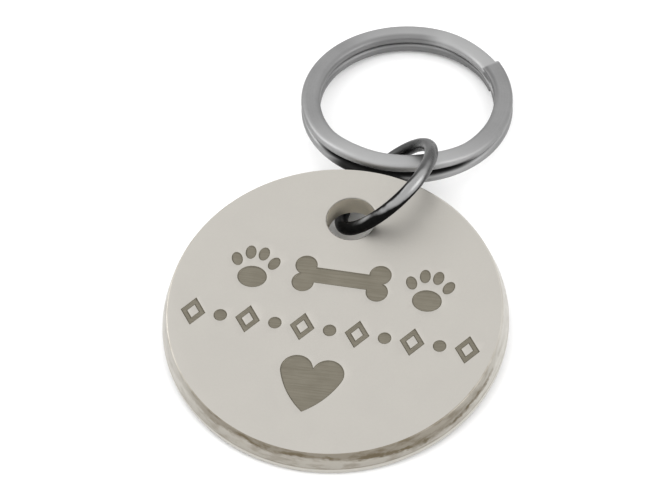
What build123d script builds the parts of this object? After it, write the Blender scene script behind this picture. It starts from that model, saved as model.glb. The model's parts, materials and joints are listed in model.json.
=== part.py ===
from build123d import *
import os
from math import acos, asin, atan, atan2, cos, degrees, hypot, radians, sin, sqrt

# A round steel pet tag that hangs by a jump ring from a split ring, lying as it comes to rest on a table.
# Millimetres and degrees. +X runs across the tag, +Y from the tag to the rings, +Z up from the table.
# The origin is the middle of the whole part's footprint, at table height.

# Tag
tag_diameter = 30.0
tag_thickness = 2.5
edge_taper = 0.47                 # how far the face stops short of the rim, which is the widest part
face_edge_round = 0.15
rim_height = 0.75                  # upright lower part of the edge
rim_round = 0.35
hole_diameter = 4.3
hole_edge_round = 0.2
bridge_width = 3.4               # metal between the hole and the rim

# Engraving in the tag's upper face, with places measured from the tag's centre
engraving_depth = 0.2
engraving_turn = -2.2              # the engraving sits a little turned on the blank
paw_height = 4.2
paw_offset = 7.7
bone_length = 8.4
bone_height = 3.6
upper_row_y = 3.2
bead_count = 11
bead_height = 2.7
bead_width = 2.1
bead_line = 0.5
dot_diameter = 1.1
lower_row_y = -2.15
lower_row_margin = 1.3             # from the last bead to the face's edge
heart_width = 5.4
heart_height = 5.4
heart_x = -0.8
heart_y = -7.8
heart_turn = -3.3                  # on top of the engraving's own turn

# Split ring, wound of flat wire
split_outer_diameter = 18.9
band_width = 1.7
coil_height = 1.0
coil_gap = 0.4
band_flat = 0.3                    # upright part of the wire's side, between its rounded corners
ramp_angle = 38.0                  # turn over which the wire steps from the upper coil to the lower
end_overlap = 3.0                  # turn between the ramp's foot and the free end above it
upper_end_angle = 38.0             # where the upper coil's free end lies, from +X towards +Y

# Jump ring, of round wire
jump_wire = 1.2
link_play = 2.45                   # room left inside it beside the tag's bridge and the split ring
seam_gap = 0.12                    # hairline between its butted ends

# How the linked pieces come to rest
hole_clearance = 0.15              # between the leaning wire and the hole's wall
seat_clearance = 0.1               # between the split ring's corner and the jump ring's inside
jump_yaw = 25.0                    # turn of the jump ring's plane from the tag's long axis
jump_lift = 0.6                    # how far the tag has slid down the leaning ring
seat_angle = -33.0                # where the split ring lies inside the jump ring, from level

# Sizes that follow from those above
tag_radius = tag_diameter / 2
face_radius = tag_radius - edge_taper
hole_radius = hole_diameter / 2
hole_y = tag_radius - bridge_width - hole_radius
wire_radius = jump_wire / 2
jump_inner_radius = (bridge_width + hole_radius - wire_radius + band_width + link_play) / 2
jump_mean_radius = jump_inner_radius + wire_radius
split_outer_radius = split_outer_diameter / 2
split_mean_radius = split_outer_radius - band_width / 2
band_round = (coil_height - band_flat) / 2
coil_pitch = coil_height + coil_gap
split_height = coil_height + coil_pitch
lower_level = coil_height / 2
upper_level = lower_level + coil_pitch
coil_turn = 360 - end_overlap - ramp_angle


def heart(width, height):
    # Two round lobes, with bowed sides that leave them smoothly and meet in the tip.
    lobe = 0.255 * width
    leave = radians(20)
    across = width / 2 - lobe
    tip = (0, lobe - height)
    shoulder = (across + lobe * cos(leave), -lobe * sin(leave))
    side = TangentArc(shoulder, tip, tangent=(-sin(leave), -cos(leave)))
    crown = Polyline(shoulder, (across, 0), (-across, 0), (-shoulder[0], shoulder[1]))
    shape = make_face([side, crown, mirror(side, about=Plane.YZ)])
    for place in (-across, across):
        shape += Pos(place, 0) * Circle(lobe)
    return Pos(0, height / 2 - lobe) * shape


def paw(height):
    pad_width = 0.60 * height
    pad_height = 0.50 * height
    toe_width = 0.21 * height
    toe_height = 0.31 * height
    inner_toe = (0.14 * height, 0.33 * height, 6)
    outer_toe = (0.39 * height, 0.13 * height, 24)
    shape = Pos(0, (pad_height - height) / 2) * Ellipse(pad_width / 2, pad_height / 2)
    for side in (-1, 1):
        for across, up, splay in (inner_toe, outer_toe):
            toe = Rot(0, 0, -side * splay) * Ellipse(toe_width / 2, toe_height / 2)
            shape += Pos(side * across, up) * toe
    return shape


def bone(length, height):
    knob = 0.26 * height
    shaft_height = 0.42 * height
    shape = Rectangle(length - 2 * knob, shaft_height)
    for across in (-1, 1):
        for up in (-1, 1):
            shape += Pos(across * (length / 2 - knob), up * (height / 2 - knob)) * Circle(knob)
    return shape


def diamond(width, height):
    return Polygon((width / 2, 0), (0, height / 2), (-width / 2, 0), (0, -height / 2))


def bead_row():
    # Open diamonds with dots between them, spread along the chord that the row lies on.
    half_chord = sqrt(face_radius ** 2 - lower_row_y ** 2)
    row_length = 2 * (half_chord - lower_row_margin) - bead_width
    inner_width = bead_width - 2 * bead_line
    inner_height = bead_height * inner_width / bead_width
    bead = diamond(bead_width, bead_height) - diamond(inner_width, inner_height)
    shape = Sketch()
    for index in range(bead_count):
        mark = Circle(dot_diameter / 2) if index % 2 else bead
        shape += Pos(row_length * (index / (bead_count - 1) - 0.5), 0) * mark
    return shape


def make_tag():
    # Punched from sheet, so the edge tapers from the rim up to the face.
    edge = ((tag_radius, 0), (tag_radius, rim_height), (face_radius, tag_thickness))
    half = Polygon((0, 0), *edge, (0, tag_thickness), align=None)
    tag = revolve(Plane.XZ * half, Axis.Z)
    circles = tag.edges().filter_by(GeomType.CIRCLE).sort_by(Axis.Z)
    tag = fillet(circles[0], rim_round)
    circles = tag.edges().filter_by(GeomType.CIRCLE).sort_by(Axis.Z)
    tag = fillet(circles[-1], face_edge_round)
    tag -= Pos(0, hole_y, tag_thickness / 2) * Cylinder(hole_radius, 2 * tag_thickness)
    rims = tag.edges().filter_by(GeomType.CIRCLE)
    tag = fillet(rims.filter_by(lambda rim: abs(rim.radius - hole_radius) < 1e-6), hole_edge_round)
    marks = Pos(heart_x, heart_y) * Rot(0, 0, heart_turn) * heart(heart_width, heart_height)
    marks += Pos(0, lower_row_y) * bead_row()
    marks += Pos(0, upper_row_y) * bone(bone_length, bone_height)
    for side in (-1, 1):
        marks += Pos(side * paw_offset, upper_row_y) * paw(paw_height)
    return tag - extrude(Pos(0, 0, tag_thickness) * Rot(0, 0, engraving_turn) * marks, -engraving_depth)


def make_jump_ring():
    # One turn about Z, with its seam facing +X.
    seam_angle = degrees(seam_gap / jump_mean_radius)
    section = Plane.XZ * Pos(jump_mean_radius, 0) * Circle(wire_radius)
    return Rot(0, 0, -seam_angle / 2) * revolve(section, Axis.Z, -(360 - seam_angle))


def on_coil(turn, height):
    # The wire's centre after so much turn from its upper end, running clockwise seen from above.
    angle = radians(upper_end_angle - turn)
    return Vector(split_mean_radius * cos(angle), split_mean_radius * sin(angle), height)


def ramp_path():
    # The step from the upper coil to the lower, as two arcs that meet each other and both coils smoothly.
    top = on_coil(coil_turn, upper_level)
    foot = on_coil(coil_turn + ramp_angle, lower_level)
    middle = on_coil(coil_turn + ramp_angle / 2, (upper_level + lower_level) / 2)
    outward = Vector(middle.X, middle.Y, 0).normalized()
    middle += outward * (hypot(split_mean_radius, coil_pitch / 2) - split_mean_radius)
    fall = TangentArc(top, middle, tangent=Vector(top.Y, -top.X, 0))
    landing = TangentArc(middle, foot, tangent=fall % 1)
    return Wire([fall.edge(), landing.edge()])


def least_gap(ramp):
    # Between stretches of the wire over half a turn apart, on points about one degree apart along it.
    steps = round(coil_turn)
    ramp_steps = round(ramp_angle)
    points = [on_coil(coil_turn * index / steps, upper_level) for index in range(steps)]
    points += [ramp @ (index / ramp_steps) for index in range(ramp_steps)]
    lower_start = coil_turn + ramp_angle
    points += [on_coil(lower_start + coil_turn * index / steps, lower_level) for index in range(steps + 1)]
    gaps = []
    for index, point in enumerate(points):
        for other in points[index + 180:]:
            aside = hypot(point.X - other.X, point.Y - other.Y)
            above = max(point.Z - other.Z - coil_height, 0)
            gaps.append(hypot(aside, above))
    return min(gaps)


def band_section(centre, heading):
    upright = Plane(centre, x_dir=Vector(centre.X, centre.Y, 0), z_dir=heading)
    return upright * RectangleRounded(band_width, coil_height, band_round)


def make_split_ring():
    ramp = ramp_path()
    print(f"split ring: least gap to itself {least_gap(ramp):.2f} mm")
    sections = [band_section(ramp @ share, ramp % share) for share in (0, 0.5, 1)]
    upper_coil = revolve(sections[0], Axis.Z, coil_turn)
    lower_coil = revolve(sections[-1], Axis.Z, -coil_turn)
    return upper_coil + sweep(sections, ramp, multisection=True) + lower_coil


# The jump ring leans until its wire spans the hole from corner to corner.
wire_room = jump_wire + 2 * hole_clearance
lean = acos(wire_room / hypot(hole_diameter, tag_thickness)) - atan(tag_thickness / hole_diameter)
yaw = radians(jump_yaw)
level_line = Vector(sin(yaw), cos(yaw), 0)
steep_line = Vector(sin(lean) * cos(yaw), -sin(lean) * sin(yaw), cos(lean))
jump_axis = level_line.cross(steep_line)
mouth = tag_thickness / 2 / cos(lean)
upper_reach = sqrt(jump_mean_radius ** 2 - (mouth - jump_lift) ** 2)
lower_reach = sqrt(jump_mean_radius ** 2 - (mouth + jump_lift) ** 2)
hole_centre = Vector(0, hole_y, tag_thickness / 2)
jump_centre = hole_centre + level_line * (upper_reach + lower_reach) / 2 + steep_line * jump_lift

# The split ring lies against the jump ring's inside.
seat_radius = jump_inner_radius - hypot(band_width, split_height) / 2 - seat_clearance
seat = radians(seat_angle)
split_seat = jump_centre + (level_line * cos(seat) + steep_line * sin(seat)) * seat_radius


def tag_rise(tilt):
    # Height of the tag's centre when its near edge touches the table.
    return (tag_radius - rim_round) * sin(tilt) + rim_round * (1 - cos(tilt))


def jump_ring_foot(tilt):
    # Height of the jump ring's lowest point above the table.
    axis_up = jump_axis.Y * sin(tilt) + jump_axis.Z * cos(tilt)
    centre_up = jump_centre.Y * sin(tilt) + jump_centre.Z * cos(tilt) + tag_rise(tilt)
    return centre_up - jump_mean_radius * sqrt(1 - axis_up ** 2) - wire_radius


def settled_tilt():
    # The tag tilts until the jump ring under its far side stands on the table as well.
    low = 0
    high = radians(45)
    for _ in range(60):
        middle = (low + high) / 2
        if jump_ring_foot(middle) < 0:
            low = middle
        else:
            high = middle
    return high


tilt = settled_tilt()
tag_place = Pos(0, 0, tag_rise(tilt)) * Rot(degrees(tilt), 0, 0)
jump_place = tag_place * Plane(jump_centre, x_dir=-steep_line, z_dir=jump_axis).location

# The split ring's near side hangs in the jump ring and its far side rests on the table.
seat_point = (tag_place * Pos(split_seat)).position
side_span = split_mean_radius + split_outer_radius - band_round
height_span = split_height / 2 - band_round
dip = asin((seat_point.Z - band_round) / hypot(side_span, height_span)) - atan2(height_span, side_span)
split_place = Pos(seat_point) * Rot(-degrees(dip), 0, 0) * Pos(0, split_mean_radius, -split_height / 2)

nodes = {
    "tag_disc": tag_place * make_tag(),
    "jump_ring": jump_place * make_jump_ring(),
    "split_ring": split_place * make_split_ring(),
}
bounds = Compound(list(nodes.values())).bounding_box()
to_origin = Pos(-bounds.center().X, -bounds.center().Y, -bounds.min.Z)

os.makedirs("parts", exist_ok=True)
for name, shape in nodes.items():
    export_step(to_origin * shape, f"parts/{name}.step")

for name, place in (("jump_ring", jump_place), ("split_ring", split_place)):
    axis = Axis(to_origin * place)
    print(f"{name}: turns about {axis.direction} through {axis.position}")
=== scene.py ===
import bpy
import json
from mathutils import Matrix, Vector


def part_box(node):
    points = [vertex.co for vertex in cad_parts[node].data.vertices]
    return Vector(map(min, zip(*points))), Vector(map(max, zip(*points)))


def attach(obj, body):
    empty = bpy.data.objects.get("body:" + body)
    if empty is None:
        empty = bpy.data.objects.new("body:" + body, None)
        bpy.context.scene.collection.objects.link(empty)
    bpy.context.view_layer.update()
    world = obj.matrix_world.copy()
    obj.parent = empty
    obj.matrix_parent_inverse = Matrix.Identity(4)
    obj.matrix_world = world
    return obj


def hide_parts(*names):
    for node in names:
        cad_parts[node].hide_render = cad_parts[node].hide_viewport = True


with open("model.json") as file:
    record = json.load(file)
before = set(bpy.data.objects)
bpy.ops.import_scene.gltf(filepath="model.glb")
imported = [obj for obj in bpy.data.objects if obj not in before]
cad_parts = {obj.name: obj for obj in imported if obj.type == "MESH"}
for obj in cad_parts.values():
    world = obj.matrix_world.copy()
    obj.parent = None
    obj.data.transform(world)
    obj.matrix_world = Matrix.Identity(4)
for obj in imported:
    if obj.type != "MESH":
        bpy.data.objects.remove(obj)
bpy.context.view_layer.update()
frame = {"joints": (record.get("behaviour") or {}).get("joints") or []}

import json
from math import asin, atan2, ceil, cos, degrees, hypot, pi, radians, sin, sqrt, tan, tau

import bmesh
import bpy
from mathutils import Matrix, Vector, noise
from mathutils.geometry import delaunay_2d_cdt

mm = 0.001
joints = {joint["child"]: joint for joint in frame["joints"]}


class Signal:  # one socket in a node tree, so sums can be written as sums
    def __init__(self, tree, socket=None):
        self.tree = tree
        self.socket = socket

    def node(self, kind, settings=None, inputs=None, output=0):
        made = self.tree.nodes.new(kind)
        for name, value in (settings or {}).items():
            setattr(made, name, value)
        for name, value in (inputs or {}).items():
            if isinstance(value, Signal):
                self.tree.links.new(value.socket, made.inputs[name])
            else:
                made.inputs[name].default_value = value
        return Signal(self.tree, made.outputs[output] if len(made.outputs) else None)

    def math(self, operation, *values):
        return self.node("ShaderNodeMath", {"operation": operation}, dict(enumerate(values)))

    def __add__(self, other):
        return self.math("ADD", self, other)

    def __sub__(self, other):
        return self.math("SUBTRACT", self, other)

    def __rsub__(self, other):
        return self.math("SUBTRACT", other, self)

    def __mul__(self, other):
        return self.math("MULTIPLY", self, other)

    def __truediv__(self, other):
        return self.math("DIVIDE", self, other)

    def __rtruediv__(self, other):
        return self.math("DIVIDE", other, self)

    def __pow__(self, other):
        return self.math("POWER", self, other)

    def __neg__(self):
        return self.math("MULTIPLY", self, -1.0)

    def __abs__(self):
        return self.math("ABSOLUTE", self)

    __radd__ = __add__
    __rmul__ = __mul__

    def between(self, low, high, toLow=0.0, toHigh=1.0):  # soft step from low to high
        return self.node("ShaderNodeMapRange", {"interpolation_type": "SMOOTHSTEP"}, {
            "Value": self, "From Min": low, "From Max": high, "To Min": toLow, "To Max": toHigh})

    def spread(self, toLow=0.0, toHigh=1.0):  # noise keeps near its middle, so only that is stretched out
        return self.between(0.3, 0.7, toLow, toHigh)

    def tint(self, low, high):  # self picks between two colours
        return self.node("ShaderNodeMix", {"data_type": "RGBA"}, {0: self, 6: low, 7: high}, 2)

    def part(self, axis):
        return self.node("ShaderNodeSeparateXYZ", None, {"Vector": self}, axis)

    def grain(self, scale, detail=2.0, stretch=(1.0, 1.0, 1.0), rough=0.5):  # noise, scale in features per mm
        at = self.node("ShaderNodeVectorMath", {"operation": "MULTIPLY"}, {0: self, 1: stretch})
        return self.node("ShaderNodeTexNoise", None, {
            "Vector": at, "Scale": scale / mm, "Detail": detail, "Roughness": rough})

    def bump(self, depth, strength):  # depth in mm
        return self.node("ShaderNodeBump", None, {
            "Height": self, "Distance": depth * mm, "Strength": strength})


def grey(level):
    return (level, level, level, 1)


def startMaterial(name):
    material = bpy.data.materials.new(name)
    material.use_nodes = True
    material.node_tree.nodes.clear()
    return material, Signal(material.node_tree)


def finishMaterial(start, sockets):
    shader = start.node("ShaderNodeBsdfPrincipled", None, sockets)
    start.node("ShaderNodeOutputMaterial", None, {"Surface": shader})


def localPoint(start, place):  # object coordinates turned into a piece's own
    return start.node("ShaderNodeMapping", {"vector_type": "TEXTURE"}, {
        "Vector": start.node("ShaderNodeTexCoord", output="Object"),
        "Location": place.to_translation(), "Rotation": place.to_euler()})


def addObject(name, data):
    made = bpy.data.objects.new(name, data)
    bpy.context.scene.collection.objects.link(made)
    return made


def freezeModifiers(piece):  # keeps what the modifiers made as a plain mesh
    made = bpy.data.meshes.new_from_object(piece.evaluated_get(bpy.context.evaluated_depsgraph_get()))
    piece.modifiers.clear()
    piece.data = made
    made.name = piece.name


# tag: a stamped steel disc, worked out in its own millimetres and then laid down

tag = {
    "thickness": 2.5, "taper": 0.47, "lipRound": 0.15,  # the face stops short of the rim, the widest line
    "rimHeight": 0.75, "rimRound": 0.35,  # smooth upright rim under the torn band
    "bandFoot": (0.03, 0.1),  # in from the widest line, and above the rim
    "groove": [(0.05, 0.03, 0.01), (0.012, -0.03, 0.005), (0.0, -0.1, 0.005)],  # the same, and how torn it is
    "tearDepth": 0.04, "tearOut": 0.3, "tearFade": 5, "tearLeast": 0.1,  # fades out at both edges of the band
    "dentScale": 0.9, "nickScale": 2.1, "nickShare": 0.6, "nickShift": (9, 4, 1), "dentSquash": 2.2,
    "holeDiameter": 4.3, "holeRound": 0.2, "bridge": 3.4,
}
tagMesh = {
    "sides": 540, "lipSteps": 5, "bandSteps": 12, "rimSteps": 8, "holeSides": 120, "holeSteps": 5,
    "step": 0.9, "rowShare": 0.87, "edgeRoom": 0.4, "markRoom": 0.22, "sharpAngle": 30,
}
marks = {
    "depth": 0.09, "lean": 0.06, "step": 0.11,  # the walls lean in a little
    "lip": 0.04, "lipBow": 0.3,  # rounded over, bowed at this share of it
    "turn": -2.2,  # all the marks sit a little turned on the blank
    "pawHeight": 4.2, "pawOffset": 7.7, "boneLength": 8.4, "boneHeight": 3.6, "upperRow": 3.2,
    "boneKnob": 0.26, "boneShaft": 0.21,  # radius of a knob and half the shaft, shares of the bone's height
    "beads": 11, "beadHeight": 2.7, "beadWidth": 2.1, "beadLine": 0.5, "dot": 1.1,
    "lowerRow": -2.15, "lowerMargin": 1.3,
    "heartWidth": 5.52, "heartHeight": 5.4, "heartAside": -0.71, "heartRow": -7.8, "heartTurn": -2.0,
    "heartLobe": 0.25, "heartLeave": -20, "heartNotch": 0.07,  # share of its width, degrees, radius
    "longestMitre": 1.6, "sharpestMitre": 0.3,
}
paw = {  # shares of the paw's height
    "padWidth": 0.6, "padHeight": 0.5, "padDrop": 0.25, "toeWidth": 0.21, "toeHeight": 0.31,
    "toes": [(0.14, 0.33, 6), (0.39, 0.13, 24)],  # across, up, and splay in degrees
}

tagLow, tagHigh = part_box("tag_disc")
tagRadius = (tagHigh.x - tagLow.x) / 2 / mm
tagHeight = (tagHigh.z - tagLow.z) / mm
lipTurn = pi / 2 - atan2(tag["taper"], tag["thickness"] - tag["rimHeight"])  # from the face over to the band
faceReach = tagRadius - tag["taper"] - tag["lipRound"] * tan(lipTurn / 2)  # where the flat of the face ends
rimCentre = tagRadius - tag["rimRound"]
lipDrop = tag["thickness"] - tag["lipRound"] - tag["rimRound"]
tagSpan = faceReach + rimCentre
# it lies on its near rim, and its far lip is the highest line
spanTilt = asin((tagHeight - tag["rimRound"] - tag["lipRound"]) / hypot(tagSpan, lipDrop))
tagTilt = spanTilt - atan2(lipDrop, tagSpan)
tagMiddle = tagHigh.y / mm - rimCentre * cos(tagTilt) + tag["rimRound"] * (sin(tagTilt) - 1)
tagRise = rimCentre * sin(tagTilt) + tag["rimRound"] * (1 - cos(tagTilt))
tagPlace = Matrix.Translation(Vector((0, tagMiddle, tagRise)) * mm) @ Matrix.Rotation(tagTilt, 4, "X")
holeRow = tagRadius - tag["bridge"] - tag["holeDiameter"] / 2
holeReach = tag["holeDiameter"] / 2 + tag["holeRound"]
print("tag radius", round(tagRadius, 3), "tilt", round(degrees(tagTilt), 3),
      "middle", round(tagMiddle, 3), round(tagRise, 3))

verts, faces, finishes = [], [], []
faceFinish, bandFinish, markFinish, holeFinish = range(4)


def layRing(points, height):
    first = len(verts)
    verts.extend((x, y, height) for x, y in points)
    return list(range(first, len(verts)))


def joinRings(rings, finish):
    for one, two in zip(rings, rings[1:]):
        for i in range(len(one)):
            j = (i + 1) % len(one)
            faces.append((one[i], one[j], two[j], two[i]))
            finishes.append(finish)


def crosses(x, y, loop):  # how often a line from the point to the right meets the loop
    count = 0
    for (ax, ay), (bx, by) in zip(loop, loop[1:] + loop[:1]):
        if (ay > y) != (by > y) and x < ax + (y - ay) * (bx - ax) / (by - ay):
            count += 1
    return count


def isInside(x, y, loops):
    return sum(crosses(x, y, loop) for loop in loops) % 2 == 1


def fillFlat(rings, spare, keep, finish):
    corners = [i for ring in rings for i in ring] + spare
    edges = []
    for ring in rings:
        first = len(edges)
        edges += [(first + i, first + (i + 1) % len(ring)) for i in range(len(ring))]
    flat = [Vector(verts[i][:2]) for i in corners]
    wholeHull, tolerance = 0, 1e-7
    points, _, cells, origins, _, _ = delaunay_2d_cdt(flat, edges, [], wholeHull, tolerance)
    for cell in cells:
        middle = sum((points[i] for i in cell), Vector((0, 0))) / len(cell)
        if keep(middle.x, middle.y):
            faces.append(tuple(corners[origins[i][0]] for i in cell))
            finishes.append(finish)


def arcPoints(x, y, radius, start, end, step):
    count = max(2, ceil(abs(end - start) * radius / step))
    angles = [start + (end - start) * i / count for i in range(count)]
    return [(x + radius * cos(a), y + radius * sin(a)) for a in angles]


def linePoints(ax, ay, bx, by, step):
    count = max(1, ceil(hypot(bx - ax, by - ay) / step))
    return [(ax + (bx - ax) * i / count, ay + (by - ay) * i / count) for i in range(count)]


def ringPoints(radius, sides, y=0.0):
    return [(radius * cos(tau * i / sides), y + radius * sin(tau * i / sides)) for i in range(sides)]


def turnLoop(loop, turn, x=0.0, y=0.0):  # turned about the origin, then moved
    c, s = cos(radians(turn)), sin(radians(turn))
    return [(x + c * px - s * py, y + s * px + c * py) for px, py in loop]


def heartLoop(width, height, step):  # two round lobes and bowed sides down to the tip
    lobe, leave, soft = marks["heartLobe"] * width, radians(marks["heartLeave"]), marks["heartNotch"]
    across, drop = width / 2 - lobe, height - lobe
    toTip = Vector((across + lobe * cos(leave), lobe * sin(leave) + drop))
    bow = toTip.length_squared / 2 / toTip.dot((cos(leave), sin(leave)))  # radius of the bowed side
    bowX, bowY = across + (lobe - bow) * cos(leave), (lobe - bow) * sin(leave)
    tip, notchRow = atan2(-drop - bowY, -bowX), sqrt((lobe + soft) ** 2 - across ** 2)
    notch, notchStep = atan2(notchRow, -across), step / 4
    loop = (arcPoints(bowX, bowY, bow, tip, leave, step)
            + arcPoints(across, 0, lobe, leave, notch, step)
            + arcPoints(0, notchRow, soft, notch - pi, -notch, notchStep)
            + arcPoints(-across, 0, lobe, pi - notch, pi - leave, step)
            + arcPoints(-bowX, bowY, bow, pi - leave, pi - tip, step))
    return [(px, py + height / 2 - lobe) for px, py in loop]


def ovalLoop(width, height, x, y, turn, step):
    count = ceil(pi * (width + height) / 2 / step)
    loop = []
    for i in range(count):
        u, v = width / 2 * cos(tau * i / count), height / 2 * sin(tau * i / count)
        loop.append((x + u * cos(turn) - v * sin(turn), y + u * sin(turn) + v * cos(turn)))
    return loop


def pawLoops(height, x, y, step):
    loops = [ovalLoop(paw["padWidth"] * height, paw["padHeight"] * height,
                      x, y - paw["padDrop"] * height, 0, step)]
    for side in (1, -1):
        for across, up, splay in paw["toes"]:
            loops.append(ovalLoop(paw["toeWidth"] * height, paw["toeHeight"] * height,
                                  x + side * across * height, y + up * height, -side * radians(splay), step))
    return loops


def boneLoop(length, height, y, step):
    knob, shaft = marks["boneKnob"] * height, marks["boneShaft"] * height
    cx, cy = length / 2 - knob, height / 2 - knob
    dip, neck = atan2(-cy, sqrt(knob ** 2 - cy ** 2)), pi - asin((shaft - cy) / knob)
    neckX = cx + knob * cos(neck)
    loop = []
    for mx, my in ((1, 1), (-1, 1), (-1, -1), (1, -1)):  # knob by knob, the shaft before every second one
        if mx == my:
            quarter = arcPoints(cx, cy, knob, dip, neck, step)
        else:
            quarter = arcPoints(cx, cy, knob, neck, dip, step)
            loop += linePoints(-mx * neckX, my * shaft + y, mx * neckX, my * shaft + y, step)
        loop += [(mx * px, my * py + y) for px, py in quarter]
    return loop


def diamondLoop(width, height, x, y, step):
    tips = [(x + width / 2, y), (x, y + height / 2), (x - width / 2, y), (x, y - height / 2)]
    return [point for a, b in zip(tips, tips[1:] + tips[:1]) for point in linePoints(*a, *b, step)]


def shiftLoop(loop, amount):  # to the right of the way round, corners mitred
    moved = []
    for (ax, ay), (bx, by), (cx, cy) in zip(loop[-1:] + loop[:-1], loop, loop[1:] + loop[:1]):
        before, after = Vector((bx - ax, by - ay)).normalized(), Vector((cx - bx, cy - by)).normalized()
        out = Vector((before.y + after.y, -before.x - after.x)).normalized()
        lean = max(marks["sharpestMitre"], out.dot(Vector((after.y, -after.x))))
        reach = amount * min(marks["longestMitre"], 1 / lean)
        moved.append((bx + out.x * reach, by + out.y * reach))
    return moved


def beadLoops(x, step):
    width, height, row = marks["beadWidth"], marks["beadHeight"], marks["lowerRow"]
    innerWidth = width - 2 * marks["beadLine"]
    inner = diamondLoop(innerWidth, height * innerWidth / width, x, row, step)
    return [diamondLoop(width, height, x, row, step), inner[::-1]]


def markLoops():  # every outline of the engraving, grouped by mark; an inner outline runs the other way
    step, upper, lower = marks["step"], marks["upperRow"], marks["lowerRow"]
    groups = []
    for side in (-1, 1):
        groups += [[loop] for loop in pawLoops(marks["pawHeight"], side * marks["pawOffset"], upper, step)]
    groups.append([boneLoop(marks["boneLength"], marks["boneHeight"], upper, step)])
    heart = heartLoop(marks["heartWidth"], marks["heartHeight"], step)
    groups.append([turnLoop(heart, marks["heartTurn"], marks["heartAside"], marks["heartRow"])])
    faceRadius = tagRadius - tag["taper"]
    rowLength = 2 * (sqrt(faceRadius ** 2 - lower ** 2) - marks["lowerMargin"]) - marks["beadWidth"]
    for i in range(marks["beads"]):
        x = rowLength * (i / (marks["beads"] - 1) - 0.5)
        if i % 2:
            groups.append([ovalLoop(marks["dot"], marks["dot"], x, lower, 0, step)])
        else:
            groups.append(beadLoops(x, step))
    return [[turnLoop(loop, marks["turn"]) for loop in group] for group in groups]


def angleSteps(turn, count):  # from 0 to the whole turn
    return [turn * i / count for i in range(count + 1)]


def edgeProfile():  # radius, height and roughness of the cut, from the face's rim round to the underside
    lip, rim, top = tag["lipRound"], tag["rimRound"], tag["thickness"]
    lipSteps, rimSteps = angleSteps(lipTurn, tagMesh["lipSteps"]), angleSteps(pi / 2, tagMesh["rimSteps"])
    profile = [(faceReach + lip * sin(a), top - lip + lip * cos(a), 0.0) for a in lipSteps]
    startRadius, startHeight, _ = profile[-1]
    footIn, footUp = tag["bandFoot"]
    outward, down = tagRadius - footIn - startRadius, tag["rimHeight"] + footUp - startHeight
    for i in range(1, tagMesh["bandSteps"] + 1):
        share = i / tagMesh["bandSteps"]
        torn = min(1, tag["tearFade"] * share, tag["tearFade"] * (1 - share) + tag["tearLeast"])
        profile.append((startRadius + outward * share, startHeight + down * share, tag["tearDepth"] * torn))
    profile += [(tagRadius - inward, tag["rimHeight"] + above, tear) for inward, above, tear in tag["groove"]]
    return profile + [(rimCentre + rim * cos(a), rim - rim * sin(a), 0.0) for a in rimSteps]


def edgeRings():
    rings = []
    for radius, height, tear in edgeProfile():
        points = []
        for x, y in ringPoints(1.0, tagMesh["sides"]):
            at = Vector((x * tagRadius, y * tagRadius, tag["dentSquash"] * height))
            nick = noise.noise(at * tag["nickScale"] + Vector(tag["nickShift"]))
            dent = noise.noise(at * tag["dentScale"]) + tag["nickShare"] * nick
            reach = radius + tear * min(dent, tag["tearOut"])
            points.append((reach * x, reach * y))
        rings.append(layRing(points, height))
    return rings


def holeRings():
    soft, radius, top = tag["holeRound"], tag["holeDiameter"] / 2, tag["thickness"]
    steps = angleSteps(pi / 2, tagMesh["holeSteps"])
    profile = [(radius + soft - soft * sin(a), top - soft + soft * cos(a)) for a in steps]
    profile += [(radius + soft - soft * cos(a), soft - soft * sin(a)) for a in steps]
    return [layRing(ringPoints(r, tagMesh["holeSides"], holeRow), height) for r, height in profile]


def cutMarks():  # walls and floors of the engraving; gives the outlines and rings where the face stops
    top, lip = tag["thickness"], marks["lip"]
    curl = marks["lipBow"] * lip
    outlines, openRings = [], []
    for group in markLoops():
        floorLoops = [shiftLoop(loop, -marks["lean"]) for loop in group]
        floorRings = []
        for loop, floorLoop in zip(group, floorLoops):
            outline = shiftLoop(loop, lip)
            rings = [layRing(outline, top), layRing(shiftLoop(loop, curl), top - curl),
                     layRing(loop, top - lip), layRing(floorLoop, top - marks["depth"])]
            joinRings(rings, markFinish)
            outlines.append(outline)
            openRings.append(rings[0])
            floorRings.append(rings[-1])
        fillFlat(floorRings, [], lambda x, y: isInside(x, y, floorLoops), markFinish)
    return outlines, openRings


def faceSpots():  # points spread over the flat faces, so that they don't break into slivers
    step, room = tagMesh["step"], tagMesh["edgeRoom"]
    rows = int(faceReach / step)
    spots = []
    for i in range(-rows, rows + 1):
        for j in range(-rows, rows + 1):
            x, y = (i + 0.5 * (j % 2)) * step, j * step * tagMesh["rowShare"]
            if hypot(x, y) < faceReach - room and hypot(x, y - holeRow) > holeReach + room:
                spots.append((x, y))
    return spots


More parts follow.
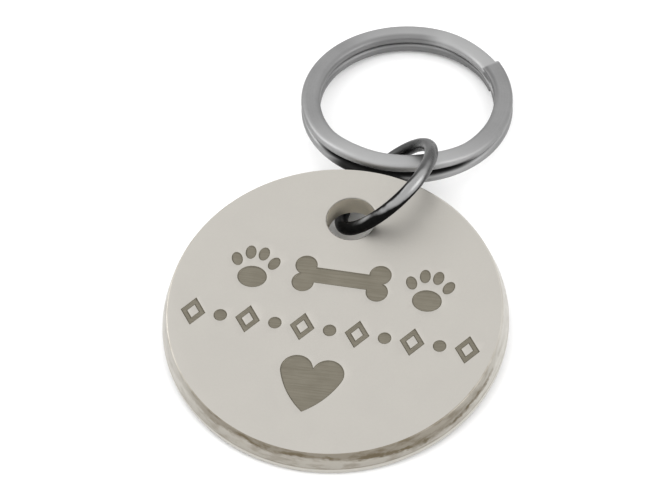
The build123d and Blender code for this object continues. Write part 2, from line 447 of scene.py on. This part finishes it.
def makeTag():
    band, hole = edgeRings(), holeRings()
    joinRings(band, bandFinish)
    joinRings(hole[:tagMesh["holeSteps"]], faceFinish)
    joinRings(hole[tagMesh["holeSteps"] - 1:], holeFinish)
    outlines, openRings = cutMarks()
    holeLoop = ringPoints(holeReach, tagMesh["holeSides"], holeRow)

    def onFace(x, y):
        return not isInside(x, y, [holeLoop])

    def onTop(x, y):
        return onFace(x, y) and not isInside(x, y, outlines)

    def clearOfMarks(x, y):
        return all(hypot(x - px, y - py) > tagMesh["markRoom"] for loop in outlines for px, py in loop)

    spots = faceSpots()
    topSpots = [(x, y) for x, y in spots if clearOfMarks(x, y) and onTop(x, y)]
    fillFlat([band[0], hole[0]] + openRings, layRing(topSpots, tag["thickness"]), onTop, faceFinish)
    fillFlat([band[-1], hole[-1]], layRing(spots, 0.0), onFace, faceFinish)
    mesh = bpy.data.meshes.new("tagDisc")
    mesh.from_pydata([tagPlace @ (Vector(v) * mm) for v in verts], [], faces)
    mesh.polygons.foreach_set("material_index", finishes)
    shape = bmesh.new()
    shape.from_mesh(mesh)
    bmesh.ops.recalc_face_normals(shape, faces=shape.faces)
    sharpAngle = radians(tagMesh["sharpAngle"])
    for edge in shape.edges:
        edge.smooth = len(edge.link_faces) < 2 or edge.calc_face_angle(0) < sharpAngle
    for face in shape.faces:
        face.smooth = True
    loose = [edge for edge in shape.edges if len(edge.link_faces) != 2]
    print("tag mesh", len(shape.verts), "points", len(shape.faces), "faces", len(loose), "open edges")
    shape.to_mesh(mesh)
    shape.free()
    piece = addObject("tagDisc", mesh)
    even = piece.modifiers.new("even", "WEIGHTED_NORMAL")
    even.keep_sharp = True
    freezeModifiers(piece)
    return piece


tagSteel = {  # the two ends of each finish's colour
    "face": [(0.389, 0.373, 0.345, 1), (0.409, 0.393, 0.363, 1)],
    "edge": [(0.5, 0.483, 0.445, 1), (0.135, 0.111, 0.074, 1)],
    "mark": [(0.142, 0.129, 0.101, 1), (0.188, 0.173, 0.139, 1)],
    # painted light: the hole wall is far paler than the face, standing in for light that reaches into the
    # hole
    "hole": [(0.80, 0.75, 0.65, 1), (0.88, 0.83, 0.72, 1)],
}


def satinFaceSteel():
    material, start = startMaterial("satinFaceSteel")
    at = localPoint(start, tagPlace)
    cloud, grit = at.grain(0.35, 4.0), at.grain(9.0, 2.0)
    shade = (cloud * 0.7 + grit * 0.3).spread()
    finishMaterial(start, {
        "Metallic": 1.0, "Base Color": shade.tint(*tagSteel["face"]),
        "Roughness": cloud.spread(0.48, 0.54), "Normal": grit.bump(0.004, 0.35)})
    return material


# turns and starts are mm to the right of the middle, fades are shares of the way to the near side
edgeWearAndShade = {
    # the line where the sheared edge turns into the torn one, mm above the underside, lowest on the right
    "line": 1.4, "lineLeft": 0.7, "lineRight": -0.1, "lineTurn": (1, 8), "lineWave": 1.6, "lineFray": 0.5,
    # how dark: streaks along that line, the band above it and the near side (both painted shade), all of it,
    # and where it is torn
    "streakLeft": 0.33, "streakRight": 0.5, "streakTurn": (0, 8),
    "streakStart": (-9, -5), "streakLeast": 0.1,
    "above": 0.3, "aboveNear": 0.05, "near": 0.27, "nearFade": (0.25, 0.95), "all": 0.14, "torn": 0.25,
    # what is left of that on the flanks and the far side
    "flankLeft": 0.6, "flankRight": 0.33, "flankTurn": (-12, -4),
    "flankShift": -0.45, "flankFade": (0.0, 0.4),
    "seam": 0.45, "seamHeight": 0.04,  # shade in the groove over the rim
}


def stampedEdgeSteel():
    material, start = startMaterial("stampedEdgeSteel")
    at = localPoint(start, tagPlace)
    right, height, rim = at.part(0) / mm, at.part(2) / mm, tag["rimHeight"]  # in mm
    toNear = at.part(1) / (-tagRadius * mm)
    near = toNear.between(*edgeWearAndShade["nearFade"])  # painted shade: the near side is the darkest
    wave, patch = at.grain(0.2, 2.0, (1.0, 1.0, 0.0)), at.grain(0.42, 3.0, (1.0, 1.0, 0.25))
    torn, fleck = at.grain(0.6, 4.0, (1.0, 1.0, 3.0), 0.55), at.grain(2.5, 3.0, (1.0, 1.0, 2.2))
    slope = right.between(*edgeWearAndShade["lineTurn"], edgeWearAndShade["lineLeft"], edgeWearAndShade["lineRight"])
    line = edgeWearAndShade["line"] + near * slope
    line = line + (wave - 0.5) * edgeWearAndShade["lineWave"] + (fleck - 0.5) * edgeWearAndShade["lineFray"]
    streak = abs(height - line).between(0.03, 0.3, 1.0, 0.0) * patch.between(0.36, 0.58)
    streak = streak * right.between(*edgeWearAndShade["streakStart"], edgeWearAndShade["streakLeast"], 1.0)
    # painted shade: the band above the line, just under the lip, is darker
    above = (height - line).between(-0.25, 0.2) * (edgeWearAndShade["above"] + near * edgeWearAndShade["aboveNear"])
    dark = streak * right.between(*edgeWearAndShade["streakTurn"], edgeWearAndShade["streakLeft"], edgeWearAndShade["streakRight"])
    dark = dark + above + near * edgeWearAndShade["near"] + edgeWearAndShade["all"]
    dark = dark + torn.between(0.42, 0.7) * edgeWearAndShade["torn"]
    flank = toNear + right.between(*edgeWearAndShade["flankTurn"], edgeWearAndShade["flankShift"], 0.0)
    least = right.between(*edgeWearAndShade["flankTurn"], edgeWearAndShade["flankLeft"], edgeWearAndShade["flankRight"])
    pale = flank.between(*edgeWearAndShade["flankFade"], least, 1.0)
    dark = dark * height.between(rim - 0.02, rim + 0.12) * pale  # the rim under the band is pale too
    seam = abs(height - rim - edgeWearAndShade["seamHeight"]).between(0.02, 0.11, edgeWearAndShade["seam"], 0.0)
    finishMaterial(start, {
        "Metallic": 1.0, "Base Color": (dark + seam).tint(*tagSteel["edge"]),
        "Roughness": dark * 0.2 + 0.3, "Normal": (streak * -0.4 + torn * 0.6 + fleck * 0.2).bump(0.05, 0.4)})
    return material


def brushedMarkSteel():
    material, start = startMaterial("brushedMarkSteel")
    at = localPoint(start, tagPlace)
    lines = at.grain(6.5, 3.0, (0.06, 1.6, 1.0), 0.6)
    cloud = at.grain(0.6, 3.0)
    shade = (lines * 0.75 + cloud * 0.25).between(0.32, 0.68)
    finishMaterial(start, {
        "Metallic": 1.0, "Base Color": shade.tint(*tagSteel["mark"]),
        "Roughness": lines.spread(0.42, 0.55), "Normal": lines.bump(0.012, 0.5)})
    return material


def drilledHoleSteel():
    material, start = startMaterial("drilledHoleSteel")
    at = localPoint(start, tagPlace)
    turned, cloud = at.grain(3.0, 3.0, (0.3, 0.3, 2.0)), at.grain(0.8, 3.0)
    shade = (turned * 0.5 + cloud * 0.5).spread()
    finishMaterial(start, {
        # painted light: pale colours stand in for light inside the hole
        "Metallic": 1.0, "Base Color": shade.tint(*tagSteel["hole"]),
        "Roughness": cloud.spread(0.5, 0.6), "Normal": turned.bump(0.01, 0.4)})
    return material


tagPiece = makeTag()
for steel in (satinFaceSteel(), stampedEdgeSteel(), brushedMarkSteel(), drilledHoleSteel()):
    tagPiece.data.materials.append(steel)
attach(tagPiece, "tag")
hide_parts("tag_disc")
print("tag made")


# rings: wire that follows a path, grown by node trees

wireMesh = {"splitSteps": 840, "splitSides": 48, "jumpSteps": 300, "jumpSides": 32}


def startTree(name, sizes):
    tree = bpy.data.node_groups.new(name, "GeometryNodeTree")
    for label in sizes:
        tree.interface.new_socket(name=label, in_out="INPUT", socket_type="NodeSocketFloat")
    tree.interface.new_socket(name="Steel", in_out="INPUT", socket_type="NodeSocketMaterial")
    tree.interface.new_socket(name="Mesh", in_out="OUTPUT", socket_type="NodeSocketGeometry")
    start = Signal(tree)
    return start, {label: start.node("NodeGroupInput", output=label) for label in [*sizes, "Steel"]}


def sweepWire(start, path, section):
    return start.node("GeometryNodeCurveToMesh", None, {
        "Curve": path, "Profile Curve": section, "Fill Caps": True})


def finishTree(start, mesh, steel):
    whole = start.node("GeometryNodeRealizeInstances", None, {"Geometry": mesh})
    whole = start.node("GeometryNodeSetMaterial", None, {"Geometry": whole, "Material": steel})
    start.node("NodeGroupOutput", None, {"Mesh": whole})
    return start.tree


def growPiece(name, tree, sizes, steel, place):
    piece = addObject(name, bpy.data.meshes.new(name + "Seed"))
    grow = piece.modifiers.new("grow", "NODES")
    grow.node_group = tree
    for item in tree.interface.items_tree:
        if item.in_out == "INPUT":
            grow[item.identifier] = steel if item.name == "Steel" else float(sizes[item.name])
    freezeModifiers(piece)
    piece.data.transform(place)
    print(name, len(piece.data.vertices), "points")
    return piece


def easedEnds(start, curve, length, size):  # the wire's cut ends lose their sharp rim
    along = start.node("GeometryNodeSplineParameter", output="Length")
    nearest = start.math("MINIMUM", along, length - along)
    radius = nearest.between(0.0, size["End Bevel"], size["End Share"], 1.0)
    return start.node("GeometryNodeSetCurveRadius", None, {"Curve": curve, "Radius": radius})


splitRing = {  # flat wire wound just over twice, the upper coil stepping down to the lower one
    "Outer Diameter": 18.9 * mm, "Band Width": 1.7 * mm, "Coil Height": 1.0 * mm, "Fullness": 2.8,
    "Near Gap": 0.4 * mm, "Far Gap": 0.01 * mm,  # the jump ring holds the coils apart, the rest springs shut
    "Gap Start": 0.62, "Gap Full": 0.97,  # how far round to the near side the coils part
    "Upper End": radians(38), "Sag Start": radians(318), "Sag": 0.3,  # the upper coil sinks, then dives
    "Ramp Start": radians(354), "Ramp End": radians(386), "Turn": radians(730),
    "End Bevel": 0.18 * mm, "End Share": 0.86,
}


def splitRingTree():
    start, size = startTree("woundWire", splitRing)
    line = start.node("GeometryNodeCurvePrimitiveLine")
    line = start.node("GeometryNodeResampleCurve", None, {"Curve": line, "Count": wireMesh["splitSteps"]})
    turn = start.node("GeometryNodeSplineParameter", output="Factor") * size["Turn"]
    angle = size["Upper End"] - turn
    radius = (size["Outer Diameter"] - size["Band Width"]) / 2
    full = size["Coil Height"]

    def wireBase(turn):  # height of the wire's underside after so much winding
        near = (-start.math("SINE", size["Upper End"] - turn)).between(size["Gap Start"], size["Gap Full"])
        gap = size["Far Gap"] + (size["Near Gap"] - size["Far Gap"]) * near
        sag = turn.between(size["Sag Start"], tau) * size["Sag"]
        dive = turn.between(size["Ramp Start"], size["Ramp End"]) * (1 - size["Sag"])
        return (full + gap) * (1 - sag - dive)

    spot = start.node("ShaderNodeCombineXYZ", None, {
        "X": radius * start.math("COSINE", angle), "Y": radius * start.math("SINE", angle),
        "Z": wireBase(turn) + full / 2})
    path = start.node("GeometryNodeStoreNamedAttribute", None, {
        "Geometry": line, "Name": "wound", "Value": turn})
    path = start.node("GeometryNodeSetPosition", None, {"Geometry": path, "Position": spot})
    path = start.node("GeometryNodeSetCurveNormal", {"mode": "Z_UP"}, {"Curve": path})
    path = easedEnds(start, path, radius * size["Turn"], size)
    section = start.node("GeometryNodeCurvePrimitiveCircle", None, {
        "Resolution": wireMesh["splitSides"], "Radius": 1.0})
    at = start.node("GeometryNodeInputPosition")

    def bulge(way):  # a rolled wire, fuller than an oval and softer than a bar
        return start.math("SIGN", way) * abs(way) ** (2 / size["Fullness"])

    outline = start.node("ShaderNodeCombineXYZ", None, {
        "X": bulge(at.part(0)) * size["Band Width"] / 2, "Y": bulge(at.part(1)) * full / 2})
    section = start.node("GeometryNodeSetPosition", None, {"Geometry": section, "Position": outline})
    wire = sweepWire(start, path, section)
    # both ends are ground to a wedge, as thick as the room that the next coil leaves
    wound = start.node("GeometryNodeInputNamedAttribute", None, {"Name": "wound"})
    first, last = start.math("LESS_THAN", wound, pi), start.math("GREATER_THAN", wound, 3 * pi)
    base = wireBase(wound)
    room = first * (base - wireBase(wound + tau)) + last * (wireBase(wound - tau) - base)
    room = room + (1 - first - last) * full
    pivot = base + first * full
    level = pivot + (at.part(2) - pivot) * start.math("MINIMUM", room / full, 1.0)
    ground = start.node("ShaderNodeCombineXYZ", None, {"X": at.part(0), "Y": at.part(1), "Z": level})
    wire = start.node("GeometryNodeSetPosition", None, {"Geometry": wire, "Position": ground})
    return finishTree(start, wire, size["Steel"])


jumpRing = {  # round wire bent into one closed turn
    "Middle Diameter": 10.3 * mm, "Wire": 1.2 * mm, "Seam": 0.12 * mm,
    "End Bevel": 0.12 * mm, "End Share": 0.86,
}


def jumpRingTree():
    start, size = startTree("closedWire", jumpRing)
    radius = size["Middle Diameter"] / 2
    gap = size["Seam"] / radius
    path = start.node("GeometryNodeCurveArc", None, {
        "Resolution": wireMesh["jumpSteps"], "Radius": radius,
        "Start Angle": gap / 2, "Sweep Angle": tau - gap})
    path = easedEnds(start, path, radius * (tau - gap), size)
    section = start.node("GeometryNodeCurvePrimitiveCircle", None, {
        "Resolution": wireMesh["jumpSides"], "Radius": size["Wire"] / 2})
    return finishTree(start, sweepWire(start, path, section), size["Steel"])


splitAxis = Vector(joints["split_ring"]["axis"])
splitTurn = Matrix.Rotation(-atan2(splitAxis.y, splitAxis.z), 4, "X")
splitPlace = Matrix.Translation(joints["split_ring"]["pos_m"]) @ splitTurn
jumpAxis = Vector(joints["jump_ring"]["axis"]).normalized()
downhill = (jumpAxis * jumpAxis.z - Vector((0, 0, 1))).normalized()  # the seam lies lowest, under the tag
jumpTurn = Matrix((downhill, jumpAxis.cross(downhill), jumpAxis)).transposed()
jumpPlace = Matrix.Translation(joints["jump_ring"]["pos_m"]) @ jumpTurn.to_4x4()


def fromAxis(at):
    return at.math("SQRT", at.part(0) ** 2 + at.part(1) ** 2)


def roundAxis(y, x):  # in degrees
    return y.math("DEGREES", y.math("ARCTAN2", y, x))


splitSteel = {  # greys, from the plain wire to the painted light and painted shade laid over it
    "plain": (0.20, 0.25), "far": 0.29, "near": 0.33, "inside": 0.07,
    "endHighlight": 0.33, "meet": 0.44, "gapShade": 0.03,
    # degrees round the ring from the right, where each of them fades
    "insideFade": (112, 150), "endHighlightFade": (72, 90), "meetFade": (75, 115),
    "gapShadeStart": (-132, -118), "gapShadeEnd": (-86, -78),
}


def splitRingSteel():
    material, start = startMaterial("splitRingSteel")
    at = localPoint(start, splitPlace)
    across, angle, height = fromAxis(at), roundAxis(at.part(1), at.part(0)), at.part(2) / mm
    near = -at.part(1) / across  # 1 on the near side, -1 on the far side
    drawn = start.node("ShaderNodeCombineXYZ", None, {"X": across, "Y": at.part(2)})
    lines, cloud, fleck = drawn.grain(5.0, 2.0), at.grain(0.35, 3.0), at.grain(3.0, 2.0)
    steel = (lines * 0.3 + cloud * 0.55 + fleck * 0.15).spread().tint(*map(grey, splitSteel["plain"]))
    # painted light: the far side is lighter
    steel = near.between(-0.95, -0.6, 1.0, 0.0).tint(steel, grey(splitSteel["far"]))
    steel = near.between(0.35, 0.95).tint(steel, grey(splitSteel["near"]))  # painted light: the near side is lighter
    bore = (splitRing["Outer Diameter"] / 2 - splitRing["Band Width"]) / mm
    coilTop = splitRing["Coil Height"] / mm
    inside = (across / mm).between(bore + 0.25, bore + 0.6, 1.0, 0.0) * near.between(-0.4, 0.1, 1.0, 0.0)
    inside = inside * angle.between(*splitSteel["insideFade"], 0.5, 0.1)
    steel = inside.tint(steel, grey(splitSteel["inside"]))  # painted shade on the inner wall at the far side
    upperEnd = degrees(splitRing["Upper End"])
    step = angle.between(upperEnd - 2, upperEnd) * angle.between(*splitSteel["endHighlightFade"], 1.0, 0.0)
    step = step * height.between(coilTop, coilTop + 0.5)
    steel = step.tint(steel, grey(splitSteel["endHighlight"]))  # painted highlight where the coil was pressed down flat
    meet = abs(height - coilTop).between(0.05, 0.22, 0.8, 0.0) * near.between(0.2, 0.7, 1.0, 0.2)
    meet = meet * angle.between(*splitSteel["meetFade"], 1.0, 0.2)
    steel = meet.tint(steel, grey(splitSteel["meet"]))  # painted light in the groove where the coils meet, brightest on the near side
    # painted shade in the gap between the coils on the near side, and round the lower coil's top at the front
    # left
    gapMiddle = coilTop + splitRing["Near Gap"] / mm / 2
    gapShade = abs(height - gapMiddle).between(0.22, 0.5, 1.0, 0.0) * near.between(0.6, 0.8)
    under = angle.between(*splitSteel["gapShadeStart"]) * angle.between(*splitSteel["gapShadeEnd"], 1.0, 0.0)
    gapShade = start.math("MAXIMUM", gapShade, under * height.between(coilTop - 0.1, coilTop + 0.3, 1.0, 0.0))
    finishMaterial(start, {
        "Metallic": 1.0, "Base Color": gapShade.tint(steel, grey(splitSteel["gapShade"])),
        "Roughness": cloud.spread(0.44, 0.52) + gapShade * 0.2, "Normal": (lines + cloud).bump(0.004, 0.3)})
    return material


jumpSteel = {
    "black": 0.002, "bare": 0.095, "highlightGrey": 0.26, "gloss": 0.015,  # greys, and the black's shine
    # degrees along the wire, 0 across from the seam, where each of them fades
    "bareFade": (-12, 26), "highlightStart": (-30, 5), "highlightEnd": (72, 92),
    "broadStart": (-10, 15), "broadEnd": (20, 50), "broad": 0.28,  # the painted highlight is broadest here
    "aside": -18, "wind": -50, "windFade": (30, 75),  # degrees that it winds round the wire
}


def jumpRingSteel():
    material, start = startMaterial("jumpRingSteel")
    at = localPoint(start, jumpPlace)
    cloud, fleck = at.grain(0.7, 3.0), at.grain(4.0, 3.0)
    along = roundAxis(-at.part(1), -at.part(0))
    wireRadius = jumpRing["Wire"] / 2
    out = fromAxis(at) / wireRadius - jumpRing["Middle Diameter"] / jumpRing["Wire"]
    up = at.part(2) / wireRadius
    aside = along.between(*jumpSteel["windFade"]) * radians(jumpSteel["wind"]) + radians(jumpSteel["aside"])
    facing = out * start.math("COSINE", aside) + up * start.math("SINE", aside)
    broad = along.between(*jumpSteel["broadStart"])
    broad = broad * along.between(*jumpSteel["broadEnd"], jumpSteel["broad"], 0.0)
    # painted highlight: a pale streak along the wire's upper flank
    highlight = (facing + broad + (cloud - 0.5) * 0.35).between(0.89, 1.11)
    highlight = highlight * along.between(*jumpSteel["highlightEnd"], 1.0, 0.0) * along.between(*jumpSteel["highlightStart"])
    bare = along.between(*jumpSteel["bareFade"], 1.0, 0.0)  # bare metal under the split ring, black elsewhere
    bare = bare * (0.75 + cloud * 0.5)
    dark = (bare * 0.8 + fleck * 0.06).tint(grey(jumpSteel["black"]), grey(jumpSteel["bare"]))
    finishMaterial(start, {
        "Metallic": start.math("MAXIMUM", bare, highlight), "Base Color": highlight.tint(dark, grey(jumpSteel["highlightGrey"])),
        "Specular IOR Level": jumpSteel["gloss"], "Roughness": cloud.spread(0.24, 0.34),
        "Normal": (fleck * 0.4 + cloud).bump(0.006, 0.3)})
    return material


splitPiece = growPiece("splitRing", splitRingTree(), splitRing, splitRingSteel(), splitPlace)
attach(splitPiece, "split_ring")
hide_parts("split_ring")
jumpPiece = growPiece("jumpRing", jumpRingTree(), jumpRing, jumpRingSteel(), jumpPlace)
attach(jumpPiece, "jump_ring")
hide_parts("jump_ring")
print("rings made")


# studio: a white floor, a soft sky and two soft boxes

studio = {
    "floorSize": 4.0, "floorDull": 0.91, "floorBright": 0.94, "floorGrain": 0.02,
    "skyTop": 1.5, "skyLow": 0.95, "skyRise": 0.6,
    "boxes": {
        "keyBox": {"place": (-0.60, 0.22, 0.42), "width": 0.35, "height": 0.35, "watts": 1.2},
        "sideBox": {"place": (0.55, -0.1, 0.35), "width": 0.35, "height": 0.45, "watts": 0.9},
    },
}
shot = {
    "aim": (-0.001529, -0.000658, 0.0), "bearing": 11.672, "height": 51.884, "roll": 3.171,
    "distance": 0.43939, "focalPixels": 5000, "imageWidth": 671,
    "sensorWidth": 36, "nearest": 0.01, "furthest": 20,
}


def makeFloor():
    half = studio["floorSize"] / 2
    corners = [(-half, -half, 0), (half, -half, 0), (half, half, 0), (-half, half, 0)]
    mesh = bpy.data.meshes.new("floor")
    mesh.from_pydata(corners, [], [(0, 1, 2, 3)])
    material, start = startMaterial("paleFloor")
    cloud = start.node("ShaderNodeTexCoord", output="Object").grain(studio["floorGrain"], 2.0)
    finishMaterial(start, {
        "Base Color": cloud.tint(grey(studio["floorDull"]), grey(studio["floorBright"])), "Roughness": 0.9,
        "Specular IOR Level": 0.1})
    mesh.materials.append(material)
    addObject("floor", mesh)


def makeSky():
    world = bpy.data.worlds.new("softSky")
    bpy.context.scene.world = world
    world.use_nodes = True
    world.node_tree.nodes.clear()
    start = Signal(world.node_tree)
    up = start.node("ShaderNodeTexCoord", output="Generated").part(2)
    colour = up.between(0.0, studio["skyRise"]).tint(grey(studio["skyLow"]), grey(studio["skyTop"]))
    light = start.node("ShaderNodeBackground", None, {"Color": colour, "Strength": 1.0})
    start.node("ShaderNodeOutputWorld", None, {"Surface": light})


def makeBoxes():
    for name, box in studio["boxes"].items():
        lamp = bpy.data.lights.new(name, "AREA")
        lamp.shape = "RECTANGLE"
        lamp.size, lamp.size_y = box["width"], box["height"]
        lamp.energy = box["watts"]
        holder = addObject(name, lamp)
        holder.location = box["place"]
        holder.rotation_euler = Vector(box["place"]).to_track_quat("Z", "Y").to_euler()


def makeCamera():
    bearing, height, roll = (radians(shot[key]) for key in ("bearing", "height", "roll"))
    ahead = Vector((-sin(bearing) * cos(height), cos(bearing) * cos(height), -sin(height)))
    right = Matrix.Rotation(roll, 3, ahead) @ Vector((cos(bearing), sin(bearing), 0))
    lens = bpy.data.cameras.new("photoCamera")
    lens.sensor_width = shot["sensorWidth"]
    lens.lens = shot["focalPixels"] / shot["imageWidth"] * lens.sensor_width
    lens.clip_start, lens.clip_end = shot["nearest"], shot["furthest"]
    camera = addObject("photoCamera", lens)
    turn = Matrix((right, right.cross(ahead), -ahead)).transposed()
    camera.matrix_world = Matrix.Translation(Vector(shot["aim"]) - ahead * shot["distance"]) @ turn.to_4x4()
    bpy.context.scene.camera = camera


makeFloor()
makeSky()
makeBoxes()
makeCamera()
bpy.context.scene.view_settings.view_transform = "Standard"
print("studio made")
